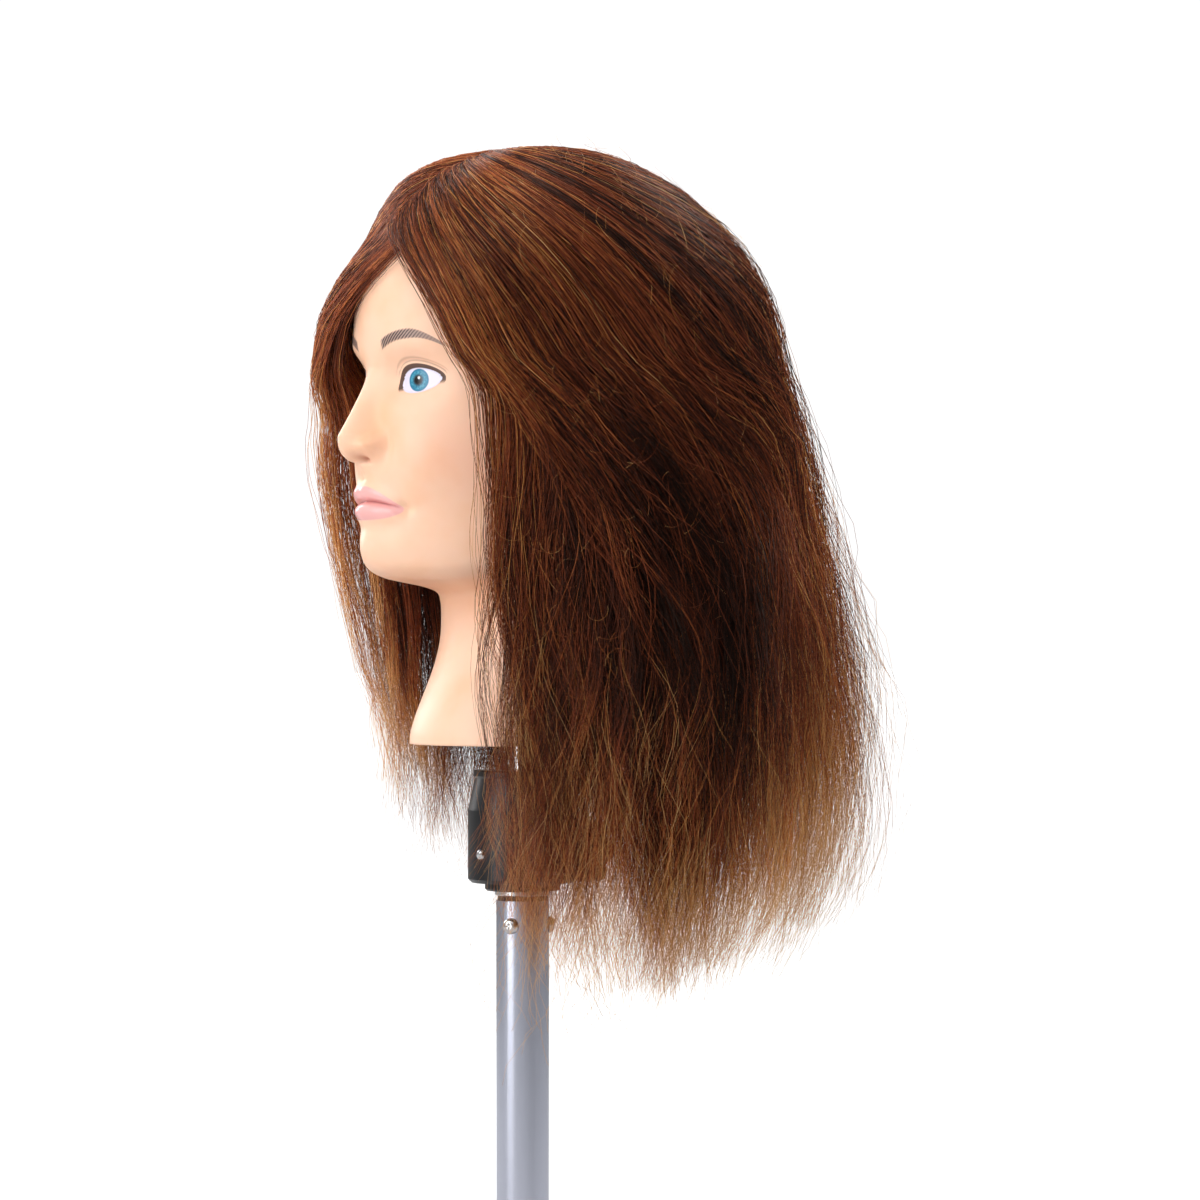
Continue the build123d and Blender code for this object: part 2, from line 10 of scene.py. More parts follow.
import bpy
import numpy as np
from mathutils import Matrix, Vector


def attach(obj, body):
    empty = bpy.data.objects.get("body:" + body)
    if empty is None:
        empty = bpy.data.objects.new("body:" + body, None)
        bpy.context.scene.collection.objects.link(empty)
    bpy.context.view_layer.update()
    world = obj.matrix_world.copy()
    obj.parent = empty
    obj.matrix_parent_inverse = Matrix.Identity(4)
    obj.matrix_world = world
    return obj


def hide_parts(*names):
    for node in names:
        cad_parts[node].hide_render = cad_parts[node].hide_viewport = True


MM = 0.001
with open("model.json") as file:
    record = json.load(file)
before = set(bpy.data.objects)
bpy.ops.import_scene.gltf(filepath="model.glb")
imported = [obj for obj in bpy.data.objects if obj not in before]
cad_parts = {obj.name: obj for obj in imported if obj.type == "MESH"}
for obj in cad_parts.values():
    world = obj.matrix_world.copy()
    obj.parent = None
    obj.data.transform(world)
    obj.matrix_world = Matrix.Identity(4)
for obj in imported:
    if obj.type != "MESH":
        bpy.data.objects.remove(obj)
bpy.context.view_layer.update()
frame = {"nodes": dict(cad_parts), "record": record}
rng = np.random.default_rng(11)

# ---------------------------------------------------------------- camera and light
CAMERA_AZIMUTH = math.radians(61)
CAMERA_DISTANCE = 2.6
CAMERA_HEIGHT = 0.369
FRAME_WIDTH = 0.636
AIM_OFFSET = 0.041
SENSOR = 36.0
# name, azimuth, elevation in degrees, distance, width, height in metres, power in watts
SOFTBOXES = [
    ("key", 6, 16, 1.6, 0.9, 1.5, 17),
    ("front_fill", 52, 38, 2.2, 1.0, 1.0, 8),
    ("rim_right", 168, 46, 1.7, 0.6, 1.0, 17),
    ("rim_left", -75, 25, 1.7, 0.6, 1.3, 14),
    ("top", 64, 84, 1.5, 0.8, 0.8, 7),
]
SOFTBOX_AIM = Vector((0, 0, 0.4))
SURROUND_SEEN = 1.05
SURROUND_LIT = 0.46
SURROUND_DIM = 0.06
DIM_AZIMUTH = math.radians(152)
FLOOR_SIZE = 40


def toward(azimuth, elevation=0.0):
    """Unit vector from the object toward this azimuth and elevation. Azimuth 0 is the front and 90 the
    head's left."""
    level = math.cos(elevation)
    return Vector((math.sin(azimuth) * level, -math.cos(azimuth) * level, math.sin(elevation)))


def add_camera():
    data = bpy.data.cameras.new("camera")
    camera = bpy.data.objects.new("camera", data)
    bpy.context.scene.collection.objects.link(camera)
    back = toward(CAMERA_AZIMUTH)
    right = Vector((math.cos(CAMERA_AZIMUTH), math.sin(CAMERA_AZIMUTH), 0))
    aim = right * AIM_OFFSET + Vector((0, 0, CAMERA_HEIGHT))
    camera.location = aim + back * CAMERA_DISTANCE
    camera.rotation_euler = (-back).to_track_quat("-Z", "Y").to_euler()
    data.sensor_width = SENSOR
    data.lens = SENSOR * CAMERA_DISTANCE / FRAME_WIDTH
    data.clip_end = 50
    bpy.context.scene.camera = camera


def softbox(name, azimuth, elevation, distance, width, height, power):
    data = bpy.data.lights.new(name, "AREA")
    data.shape = "RECTANGLE"
    data.size, data.size_y = width, height
    data.energy = power
    light = bpy.data.objects.new(name, data)
    bpy.context.scene.collection.objects.link(light)
    direction = toward(math.radians(azimuth), math.radians(elevation))
    light.location = SOFTBOX_AIM + direction * distance
    light.rotation_euler = (-direction).to_track_quat("-Z", "Y").to_euler()


def studio():
    """White surroundings that light the object gently and are dim on one side, and the softboxes."""
    world = bpy.data.worlds.new("studio")
    bpy.context.scene.world = world
    world.use_nodes = True
    tree = world.node_tree
    seen = tree.nodes.new("ShaderNodeLightPath")
    strength = tree.nodes.new("ShaderNodeMapRange")
    strength.inputs["To Max"].default_value = SURROUND_SEEN
    tree.links.new(seen.outputs["Is Camera Ray"], strength.inputs["Value"])
    background = tree.nodes["Background"]
    background.inputs["Color"].default_value = (1, 1, 1, 1)
    ray = tree.nodes.new("ShaderNodeTexCoord")
    facing = tree.nodes.new("ShaderNodeVectorMath")
    facing.operation = "DOT_PRODUCT"
    facing.inputs[1].default_value = toward(DIM_AZIMUTH)
    tree.links.new(ray.outputs["Generated"], facing.inputs[0])
    shade = tree.nodes.new("ShaderNodeMapRange")
    shade.inputs["From Max"].default_value = 0.5
    shade.inputs["To Min"].default_value = SURROUND_LIT
    shade.inputs["To Max"].default_value = SURROUND_DIM
    tree.links.new(facing.outputs["Value"], shade.inputs["Value"])
    tree.links.new(shade.outputs["Result"], strength.inputs["To Min"])
    tree.links.new(strength.outputs["Result"], background.inputs["Strength"])
    for box in SOFTBOXES:
        softbox(*box)
    scene = bpy.context.scene
    scene.view_settings.view_transform = "Standard"
    scene.view_settings.look = "None"


def add_floor():
    """A pale floor that the camera sees as white."""
    bpy.ops.mesh.primitive_plane_add(size=FLOOR_SIZE, location=(0, 0, 0))
    floor = bpy.context.object
    floor.name = "floor"
    material = finish("floor", (0.6, 0.6, 0.6), roughness=0.9, specular=0.1)
    tree = material.node_tree
    seen = tree.nodes.new("ShaderNodeLightPath")
    glow = tree.nodes.new("ShaderNodeMapRange")
    glow.inputs["To Max"].default_value = 1.0
    tree.links.new(seen.outputs["Is Camera Ray"], glow.inputs["Value"])
    shader = tree.nodes["Principled BSDF"]
    shader.inputs["Emission Color"].default_value = (1, 1, 1, 1)
    tree.links.new(glow.outputs["Result"], shader.inputs["Emission Strength"])
    floor.data.materials.append(material)


# ---------------------------------------------------------------- materials
def linear(code):
    """Scene-linear colour from a #rrggbb code."""
    parts = [int(code[i : i + 2], 16) / 255 for i in (1, 3, 5)]
    return tuple(c / 12.92 if c <= 0.04045 else ((c + 0.055) / 1.055) ** 2.4 for c in parts)


def finish(name, color, roughness=0.5, metallic=0.0, specular=0.5):
    """A material whose shader sockets are all constant."""
    material = bpy.data.materials.new(name)
    material.use_nodes = True
    shader = material.node_tree.nodes["Principled BSDF"]
    shader.inputs["Base Color"].default_value = (*color, 1)
    shader.inputs["Roughness"].default_value = roughness
    shader.inputs["Metallic"].default_value = metallic
    shader.inputs["Specular IOR Level"].default_value = specular
    return material


class Term:
    """A number carried by a shader socket, so that painted shapes can be written as formulas."""

    def __init__(self, tree, source):
        self.tree = tree
        self.source = source

    def math(self, operation, *others):
        node = self.tree.nodes.new("ShaderNodeMath")
        node.operation = operation
        for socket, value in zip(node.inputs, (self, *others)):
            if isinstance(value, Term):
                self.tree.links.new(value.source, socket)
            else:
                socket.default_value = value
        return Term(self.tree, node.outputs[0])

    def __add__(self, other):
        return self.math("ADD", other)

    def __sub__(self, other):
        return self.math("SUBTRACT", other)

    def __mul__(self, other):
        return self.math("MULTIPLY", other)

    def __truediv__(self, other):
        return self.math("DIVIDE", other)

    def __pow__(self, other):
        return self.math("POWER", other)

    def flipped(self):
        return Term(self.tree, self.source).math("MULTIPLY", -1.0) + 1.0

    def abs(self):
        return self.math("ABSOLUTE")

    def sin(self):
        return self.math("SINE")

    def least(self, other):
        return self.math("MINIMUM", other)

    def most(self, other):
        return self.math("MAXIMUM", other)

    def ramp(self, low, high):
        """0 below low and 1 above high, smooth between; low may be the larger."""
        node = self.tree.nodes.new("ShaderNodeMapRange")
        node.interpolation_type = "SMOOTHSTEP"
        self.tree.links.new(self.source, node.inputs["Value"])
        node.inputs["From Min"].default_value = low
        node.inputs["From Max"].default_value = high
        return Term(self.tree, node.outputs["Result"])

    def bump(self, centre, width):
        """A soft hill of height 1 round a value."""
        offset = (self - centre) / width
        return (offset * offset * -1.0).math("EXPONENT")


def noise(tree, vector, scale, detail=2.0):
    node = tree.nodes.new("ShaderNodeTexNoise")
    node.inputs["Scale"].default_value = scale
    node.inputs["Detail"].default_value = detail
    tree.links.new(vector, node.inputs["Vector"])
    return Term(tree, node.outputs["Fac"])


def object_axes(tree):
    """The point on the object in millimetres, one term for each axis, and the vector socket itself."""
    point = tree.nodes.new("ShaderNodeTexCoord").outputs["Object"]
    split = tree.nodes.new("ShaderNodeSeparateXYZ")
    tree.links.new(point, split.inputs[0])
    return [Term(tree, split.outputs[i]) * 1000.0 for i in range(3)], point


def paint(tree, under, color, mask):
    """Lay a colour over what is there, as far as the mask says."""
    node = tree.nodes.new("ShaderNodeMix")
    node.data_type = "RGBA"
    tree.links.new(mask.source, node.inputs["Factor"])
    if isinstance(under, tuple):
        node.inputs[6].default_value = (*under, 1)
    else:
        tree.links.new(under, node.inputs[6])
    node.inputs[7].default_value = (*color, 1)
    return node.outputs[2]


def surface_detail(material, scale, strength, roughness_low, roughness_high, stretch=(1, 1, 1)):
    """Fine grain in the roughness and a shallow bump, from one noise."""
    tree = material.node_tree
    shader = tree.nodes["Principled BSDF"]
    point = tree.nodes.new("ShaderNodeTexCoord").outputs["Object"]
    mapping = tree.nodes.new("ShaderNodeMapping")
    mapping.inputs["Scale"].default_value = stretch
    tree.links.new(point, mapping.inputs["Vector"])
    grain = noise(tree, mapping.outputs[0], scale, 4.0)
    rough = tree.nodes.new("ShaderNodeMapRange")
    rough.inputs["To Min"].default_value = roughness_low
    rough.inputs["To Max"].default_value = roughness_high
    tree.links.new(grain.source, rough.inputs["Value"])
    tree.links.new(rough.outputs["Result"], shader.inputs["Roughness"])
    bump = tree.nodes.new("ShaderNodeBump")
    bump.inputs["Strength"].default_value = strength
    bump.inputs["Distance"].default_value = 0.0003
    tree.links.new(grain.source, bump.inputs["Height"])
    tree.links.new(bump.outputs[0], shader.inputs["Normal"])
    return material


# ---------------------------------------------------------------- head shape
NECK_Z = 293.0
# height, half width, front reach, back reach, roundness of the front half
HEAD = np.array([
    (293, 60, 60, 60, 2.0),
    (299, 59.2, 59.4, 59.5, 2.0),
    (308, 57.7, 56.6, 58.7, 2.0),
    (320, 56.0, 51.2, 58.2, 2.0),
    (335, 54.6, 44.5, 59, 2.0),
    (348, 54.2, 40.6, 62, 2.0),
    (358, 54.8, 39.6, 66, 2.0),
    (367, 55.6, 40.0, 70, 2.0),
    (373, 56.8, 43, 73.5, 2.0),
    (376, 58.6, 52, 75.5, 1.9),
    (378, 60.8, 65, 76.8, 1.76),
    (380, 62.8, 77, 78, 1.66),
    (383, 64.8, 85.5, 79.8, 1.61),
    (387, 66.2, 90.4, 81.8, 1.6),
    (394, 67.2, 93.2, 84.8, 1.59),
    (401, 68.2, 93.7, 87.3, 1.6),
    (408, 69.4, 93.3, 89.3, 1.61),
    (417, 70.7, 92.9, 91.3, 1.64),
    (428, 72.2, 94.2, 93.5, 1.69),
    (440, 73.6, 94.2, 95.3, 1.74),
    (452, 74.8, 92.9, 97, 1.79),
    (466, 76.0, 91.3, 98.4, 1.86),
    (480, 77.0, 90.0, 99.2, 1.92),
    (490, 77.4, 90.0, 99.5, 1.96),
    (500, 77.6, 91.2, 99.4, 2.0),
    (510, 77.6, 92.0, 99, 2.0),
    (522, 77.0, 91.6, 98, 2.0),
    (534, 75.3, 89.2, 95.5, 2.0),
    (546, 72.0, 84.6, 91.5, 2.0),
    (556, 68.0, 78.6, 86.5, 2.0),
    (566, 62.5, 71, 80, 2.0),
    (576, 55.0, 61.5, 71, 2.0),
    (584, 47.0, 52, 61.5, 2.0),
    (591, 37.5, 41, 49.5, 2.0),
    (596, 27.0, 29.5, 36.5, 2.0),
    (598.5, 18.0, 20, 25, 2.0),
    (599.4, 10.0, 11, 14, 2.0),
])
EYE_X = 31.6
EYE_Z = 482.2
EYE_HALF = 11.6
FACE_ROWS = 400
FACE_COLUMNS = 244


def rows_at(table, z):
    """Every column of a table at these heights, on a smooth curve through its rows."""
    z = np.asarray(z, float)
    i = np.clip(np.searchsorted(table[:, 0], z, side="right") - 1, 0, len(table) - 2)
    before, after = np.maximum(i - 1, 0), np.minimum(i + 2, len(table) - 1)
    span = (table[i + 1, 0] - table[i, 0])[..., None]
    t = np.clip((z - table[i, 0])[..., None] / span, 0, 1)
    rise_low = span * (table[i + 1] - table[before]) / (table[i + 1, 0] - table[before, 0])[..., None]
    rise_high = span * (table[after] - table[i]) / (table[after, 0] - table[i, 0])[..., None]
    value = (2 * t**3 - 3 * t**2 + 1) * table[i] + (t**3 - 2 * t**2 + t) * rise_low
    value = value + (3 * t**2 - 2 * t**3) * table[i + 1] + (t**3 - t**2) * rise_high
    return [value[..., k] for k in range(1, table.shape[1])]


def outline_radius(phi, half, front, back, power):
    """Distance from the axis to a blunt oval, at an angle from the front."""
    s, c = np.abs(np.sin(phi)), np.cos(phi)
    reach = np.where(c > 0, front, back)
    n = np.where(c > 0, power, 2.0)
    return ((s / half) ** n + (np.abs(c) / reach) ** n) ** (-1 / n)


def hill(value, width):
    return np.exp(-((value / width) ** 2))


def step(value, low, high):
    t = np.clip((value - low) / (high - low), 0, 1)
    return t * t * (3 - 2 * t)


def eye_opening(x, z, grow=0.0):
    """Signed height inside the almond of the eye: positive inside, in millimetres."""
    e = np.clip((x - EYE_X) / (EYE_HALF + grow), -1, 1)
    centre = EYE_Z + 1.2 * e
    room = np.sqrt(np.maximum(1 - e * e, 0))
    upper = (6.9 + grow) * room * (1 - 0.26 * e)
    lower = (6.0 + grow) * room * (1 - 0.10 * e)
    outside = np.abs(x - EYE_X) > EYE_HALF + grow
    return np.minimum(centre + upper - z, z - centre + lower) - 6.0 * outside


def face_relief(x, z):
    """How far each point of the face stands forward of the plain oval, in millimetres."""
    a = np.abs(x)
    # nose: a bridge that rises to the tip, a rounded underside, and the wings beside it
    tip, root, base = 454.5, 490.0, 440.5
    up = np.clip((z - tip) / (root - tip), 0, 1)
    down = np.clip((tip - z) / (tip - base), 0, 1)
    ridge = np.where(z >= tip, 15.6 * (1 - up) ** 1.12, 3.6 + 12.0 * np.sqrt(1 - down**2))
    ridge = ridge * step(z, 431, 440.5)
    width = np.interp(z, [430, 440, 447, 455, 466, 480, 492], [5, 7.5, 9.5, 9.6, 7.6, 6.4, 6.8])
    relief = ridge * np.exp(-((a / width) ** 2.3))
    relief += 6.6 * np.exp(-(((a - 12.3) / 5.0) ** 2) - ((z - 449.3) / 5.6) ** 2)
    relief -= 1.4 * np.exp(-(((a - 19.0) / 2.4) ** 2) - ((z - 449) / 6.0) ** 2)
    relief -= 4.2 * np.exp(-(((a - 6.6) / 2.6) ** 2) - ((z - 442.6) / 2.0) ** 2)
    # lips, the line between them, the groove above and the fold below
    open_width = np.clip(1 - (a / 25.0) ** 2, 0, 1) ** 0.8
    line_z = 420.4 - 4.0 * (a / 24) ** 2
    upper_z = line_z + 5.0 - 2.8 * (a / 24) ** 2
    lower_z = line_z - 5.2 + 2.6 * (a / 24) ** 2
    relief += (3.5 - 0.7 * hill(a, 3.0)) * hill(z - upper_z, 4.0) * open_width
    relief += 4.2 * hill(z - lower_z, 4.6) * open_width
    relief -= 3.4 * hill(z - line_z, 1.3) * np.clip(1 - (a / 24.5) ** 4, 0, 1)
    relief -= 1.8 * np.exp(-(((a - 25) / 3.2) ** 2) - ((z - 416) / 3.5) ** 2)
    relief -= 1.1 * hill(a, 2.2) * step(z, 429, 432) * step(z, 441, 437)
    relief -= 0.9 * np.exp(-((a / 17) ** 2) - ((z - 405.5) / 4.2) ** 2)
    relief += 0.6 * np.exp(-((a / 14) ** 2) - ((z - 394) / 8.5) ** 2)
    # cheek, brow and eye: socket, lids over a rounded eye, the opening set back between them
    relief += 2.6 * np.exp(-(((a - 39) / 17) ** 2) - ((z - 447) / 19) ** 2)
    relief += 1.6 * np.exp(-(((a - 30) / 18) ** 2) - ((z - 501) / 7) ** 2)
    relief -= 6.6 * np.exp(-((((a - 30) / 18) ** 2 + ((z - 484.5) / 12.5) ** 2) ** 1.4))
    relief -= 2.2 * np.exp(-(((a - 16.5) / 5.5) ** 2) - ((z - 482.5) / 8) ** 2)
    relief += 3.6 * np.exp(-(((a - 32) / 12.5) ** 2) - ((z - 483) / 8.0) ** 2)
    inside = eye_opening(a, z)
    relief -= 1.0 * step(inside, -0.5, 0.6)
    relief -= 0.8 * np.exp(-(((eye_opening(a, z, 4.2)) / 0.8) ** 2)) * step(z, 484.5, 487.5) * (a > 18)
    return relief


def head_surface():
    """Rows by columns of points over the head and neck."""
    u = np.linspace(-1, 1, FACE_COLUMNS, endpoint=False)
    phi = math.pi * (0.42 * u + 0.58 * u**3)
    spread = np.interp(HEAD[:, 0], [293, 400, 500, 560, 600], [1, 1.6, 1.7, 1.2, 2.2])
    fine = np.linspace(NECK_Z, HEAD[-1, 0], 4000)
    share = np.cumsum(np.interp(fine, HEAD[:, 0], spread))
    z = np.interp(np.linspace(share[0], share[-1], FACE_ROWS), share, fine)
    half, front, back, power = [v[:, None] for v in rows_at(HEAD, z)]
    r = outline_radius(phi[None, :], half, front, back, power)
    x, y = r * np.sin(phi), -r * np.cos(phi)
    z = np.repeat(z[:, None], FACE_COLUMNS, axis=1)
    facing = step(np.cos(phi)[None, :], 0.15, 0.45)
    y = y - face_relief(x, z) * facing
    jaw_rise = 11.0 * step(np.abs(phi), math.radians(28), math.radians(80))[None, :]
    z = z + jaw_rise * hill(z - 380, 26)
    return x, y, z


def mesh_object(name, points, quads, material_list, material_index=None, body="head"):
    """A mesh from arrays: points in millimetres, faces with four or three corners as rows."""
    mesh = bpy.data.meshes.new(name)
    faces = quads if isinstance(quads, list) else [quads]
    mesh.vertices.add(len(points))
    mesh.vertices.foreach_set("co", (np.asarray(points, np.float32) * MM).ravel())
    corners = np.concatenate([f.ravel() for f in faces]).astype(np.int32)
    sizes = np.concatenate([np.full(len(f), f.shape[1]) for f in faces])
    mesh.loops.add(len(corners))
    mesh.loops.foreach_set("vertex_index", corners)
    mesh.polygons.add(len(sizes))
    mesh.polygons.foreach_set("loop_start", np.concatenate([[0], np.cumsum(sizes)[:-1]]).astype(np.int32))
    mesh.polygons.foreach_set("loop_total", sizes.astype(np.int32))
    mesh.polygons.foreach_set("use_smooth", np.full(len(sizes), True))
    if material_index is not None:
        mesh.polygons.foreach_set("material_index", material_index.astype(np.int32))
    mesh.update(calc_edges=True)
    mesh.validate()
    for material in material_list:
        mesh.materials.append(material)
    obj = bpy.data.objects.new(name, mesh)
    bpy.context.scene.collection.objects.link(obj)
    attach(obj, body)
    return obj


def skin_material():
    """Painted vinyl: peach skin, blush, lips, and the eyes and brows in flat printed colours, with painted
    shade beside the nose, under the jaw, in the nostrils, in the lip crease and on the scalp under the
    hair, and a painted highlight in each eye.
    """
    material = finish("skin_vinyl", linear("#fbcdb0"), roughness=0.42, specular=0.4)
    tree = material.node_tree
    shader = tree.nodes["Principled BSDF"]
    shader.inputs["Subsurface Weight"].default_value = 0.12
    shader.inputs["Subsurface Radius"].default_value = (1.0, 0.45, 0.25)
    shader.inputs["Subsurface Scale"].default_value = 0.004
    (x, y, z), point = object_axes(tree)
    a = x.abs()
    front = y.ramp(-30, -45)
    mottle = noise(tree, point, 45)
    color = paint(tree, linear("#fbcdb0"), linear("#f9c6a4"), mottle.ramp(0.4, 0.75))
    blush = a.bump(50, 15) * z.bump(443, 20) * front * 0.25
    color = paint(tree, color, linear("#f0a184"), blush)
    # painted shade: a darker orange tint on the side planes of the nose
    painted_shade_beside_nose = a.bump(13, 9) * z.bump(460, 20) * front * 0.6
    color = paint(tree, color, linear("#f6b07f"), painted_shade_beside_nose)
    # painted shade: a warm darker tint under the jaw
    color = paint(tree, color, linear("#f3b286"), z.bump(371, 9) * 0.45)
    # lips
    across = (a / 24.0).least(1.0)
    room = (across * across).flipped().most(0.0)
    line = across * across * -4.0 + 420.2
    top = line + room ** 0.75 * 8.6 - a.bump(0, 3.2) * 1.3
    bottom = line - room ** 0.55 * 9.8
    lips = (top - z).ramp(-0.5, 0.6) * (z - bottom).ramp(-0.5, 0.6) * a.ramp(24.2, 23) * front
    color = paint(tree, color, linear("#f5b4b2"), lips * 0.92)
    # painted shade: a dark line in the crease between the lips
    lip_crease_shade = (z - line).bump(0.2, 0.75) * a.ramp(23.5, 20) * front
    color = paint(tree, color, linear("#b4605c"), lip_crease_shade * 0.75)
    # painted shade in the nostrils
    nostril_shade = a.bump(6.8, 2.3) * z.bump(442.4, 1.5) * front
    color = paint(tree, color, linear("#a8583c"), nostril_shade * 0.8)

    def almond(grow, width=EYE_HALF):
        e = ((a - EYE_X) / (width + grow)).least(1.0).most(-1.0)
        centre = e * 1.2 + EYE_Z
        round_off = (e * e).flipped().most(0.0) ** 0.5
        upper = round_off * (6.9 + grow) * (e * -0.26 + 1.0)
        lower = round_off * (6.0 + grow) * (e * -0.10 + 1.0)
        return centre + upper - z, z - centre + lower, e

    # lid crease lines, then the dark lid band, the white, the iris, the pupil and a painted white highlight
    for offset, strength in ((3.7, 0.5), (5.2, 0.28)):
        over, _, e = almond(offset)
        line = over.bump(0, 0.55) * z.ramp(482, 485) * e.abs().ramp(1.0, 0.85) * front
        color = paint(tree, color, linear("#7c5a4c"), line * strength)
    over, under, e = almond(2.3, 11.8)
    band = over.ramp(-0.2, 0.35) * (z - a * 0.16).ramp(473.0, 475.5) * under.ramp(-0.2, 0.3)
    band = band * e.abs().ramp(1.0, 0.985) * front
    color = paint(tree, color, linear("#4a2f27"), band * 0.96)
    over, under, e = almond(0.0)
    opening = over.ramp(-0.15, 0.3) * under.ramp(-0.15, 0.3) * e.abs().ramp(1.0, 0.985) * front
    color = paint(tree, color, linear("#e6e0f2"), opening)
    from_iris = ((a - 30.6) ** 2.0 + (z - 482.7) ** 2.0) ** 0.5
    streak = noise(tree, point, 900)
    color = paint(tree, color, linear("#2f7d9c"), opening * from_iris.ramp(6.1, 5.6))
    bright_iris = opening * from_iris.ramp(5.2, 4.2) * streak.ramp(0.35, 0.7)
    color = paint(tree, color, linear("#4fa3bd"), bright_iris)
    color = paint(tree, color, linear("#2b211c"), opening * from_iris.ramp(3.8, 1.9) * 0.95)
    color = paint(tree, color, linear("#0b0908"), opening * from_iris.ramp(2.0, 1.6))
    # painted highlight: a white glint in each eye
    from_painted_glint = ((x - 31.2) ** 2.0 + (z - 483.9) ** 2.0) ** 0.5
    from_far_painted_glint = ((x + 30.0) ** 2.0 + (z - 483.9) ** 2.0) ** 0.5
    painted_glint = from_painted_glint.least(from_far_painted_glint)
    color = paint(tree, color, (1, 1, 1), opening * painted_glint.ramp(0.9, 0.55))
    # brow: an arch of slanting fine strokes
    d = a - 33.0
    arch = d * d * -0.0142 + 506.6 - (d.most(0.0)) ** 2.0 * 0.012
    thickness = a.ramp(50, 30) * 1.9 + 0.9
    inside = ((z - arch).abs() / thickness).ramp(1.15, 0.6) * a.ramp(12.5, 15.5) * a.ramp(50, 47) * front
    strokes = ((a * 3.4 - z * 2.6) + noise(tree, point, 260) * 3.0).sin().ramp(-0.6, 0.7)
    color = paint(tree, color, linear("#6c5e63"), inside * 0.7)
    color = paint(tree, color, linear("#2a1f1c"), inside * strokes * a.ramp(52, 26) * 0.95)
    # scalp under the hair: painted dark shade where the hair covers it, which is also made rough
    hairline = (a / 42.0) ** 2.0 * -30.0 + 563.0
    scalp_shade = (z - hairline).ramp(0, 7).most(y.ramp(-32, -22) * z.ramp(392, 402))
    color = paint(tree, color, linear("#2c160e"), scalp_shade * 0.97)
    tree.links.new(color, shader.inputs["Base Color"])
    roughness = lips.most(opening) * -0.24 + 0.44 + scalp_shade * 0.5
    tree.links.new(roughness.source, shader.inputs["Roughness"])
    return material


def add_head():
    """The vinyl head as one closed mesh, with its own unwrapping by rows and columns. A flat foot closes
    the neck, so the room that takes the socket isn't open here."""
    x, y, z = head_surface()
    rows, columns = x.shape
    points = np.stack([x, y, z], axis=-1).reshape(-1, 3)
    top = len(points)
    points = np.vstack([points, [[0, 1.5, HEAD[-1, 0] + 0.2], [0, 0, NECK_Z]]])
    grid = np.arange(rows * columns).reshape(rows, columns)
    right = np.roll(grid, -1, axis=1)
    quads = np.stack([grid[:-1], right[:-1], right[1:], grid[1:]], axis=-1).reshape(-1, 4)
    lid = np.stack([grid[-1], right[-1], np.full(columns, top)], axis=-1)
    foot = np.stack([right[0], grid[0], np.full(columns, top + 1)], axis=-1)
    obj = mesh_object("head_skin_sculpted", points, [quads, np.vstack([lid, foot])], [skin_material()])
    unwrap = obj.data.uv_layers.new(name="OFBake")
    corner = np.empty(len(obj.data.loops), np.int32)
    obj.data.loops.foreach_get("vertex_index", corner)
    face_of = np.repeat(np.arange(len(obj.data.polygons)), [p.loop_total for p in obj.data.polygons])
    across = np.where(corner < top, corner % columns, 0) / columns
    up = np.where(corner < top, corner // columns, 0) / rows
    up = np.where(corner == top, 1.0, up)
    first = across[np.searchsorted(face_of, np.arange(len(obj.data.polygons)))]
    wraps = first > 1 - 1.5 / columns
    across = np.where(wraps[face_of] & (across < 0.5), across + 1.0, across)
    uv = np.stack([across * 0.98 + 0.005, up * 0.98 + 0.01], axis=-1).astype(np.float32)
    unwrap.data.foreach_set("uv", uv.ravel())
    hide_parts("head_skin")


# ---------------------------------------------------------------- hair
EQUATOR_Z = 497.0
DROP = 112.0
AXIS_Y = 15.0
SCALP_TOP, HAIR_TOP = 600.5, 610.5
CLEAR_RADIUS = 64.5
# height, half width, front reach, back reach, roundness of the front half
HAIR_OUTER = np.array([
    (110, 74, 10, 92, 2.0),
    (155, 84, 22, 148, 2.0),
    (180, 96, 38, 174, 2.1),
    (205, 104, 54, 192, 2.3),
    (230, 109, 66, 201, 2.6),
    (260, 112, 74, 204, 2.8),
    (295, 113, 80, 203, 3.0),
    (330, 111, 84, 196, 3.0),
    (370, 108, 89, 185, 3.1),
    (410, 105, 94, 173, 3.2),
    (455, 102, 98, 161, 3.1),
    (497, 99, 101, 147, 3.0),
    (530, 95, 100, 134, 2.7),
])
HAIR_INNER = np.array([
    (110, 66, 70, 76, 2.0),
    (150, 66, 70, 76, 2.0),
    (250, 66, 70, 72, 2.0),
    (300, 66, 72, 72, 2.0),
    (340, 67, 76, 74, 2.0),
    (370, 70, 82, 82, 2.0),
    (400, 74, 90, 90, 2.0),
    (440, 77, 93, 97, 2.0),
    (470, 78.5, 93, 100, 2.0),
    (497, 79, 93, 101, 2.0),
    (530, 79, 93, 101, 2.0),
])
# angle from the front in degrees, height of the longest tips there
LEFT_TIPS = np.array([
    (40, 236), (50, 214), (60, 190), (75, 170), (90, 160), (100, 156), (110, 158),
    (125, 167), (140, 172), (160, 184), (180, 198),
])
RIGHT_TIPS = np.array([(40, 258), (60, 254), (75, 242), (90, 226), (110, 206), (140, 198), (180, 208)])
PARTING = math.radians(9)
# tones of the hair from darkest to gold, used for its own colour and for painted shade and painted
# backlight
SHADES = ["#180b08", "#2c140e", "#482015", "#6f341e", "#94492a", "#b96938", "#d3904f", "#e8b173"]
SHEEN = (1.0, 0.74, 0.6)
STRANDS_PER_PIECE = 900
# where the loosest strands start to be held in, and how much further they can reach
SIDE_LIMIT = (117, 11)
BACK_LIMIT = (208, 16)
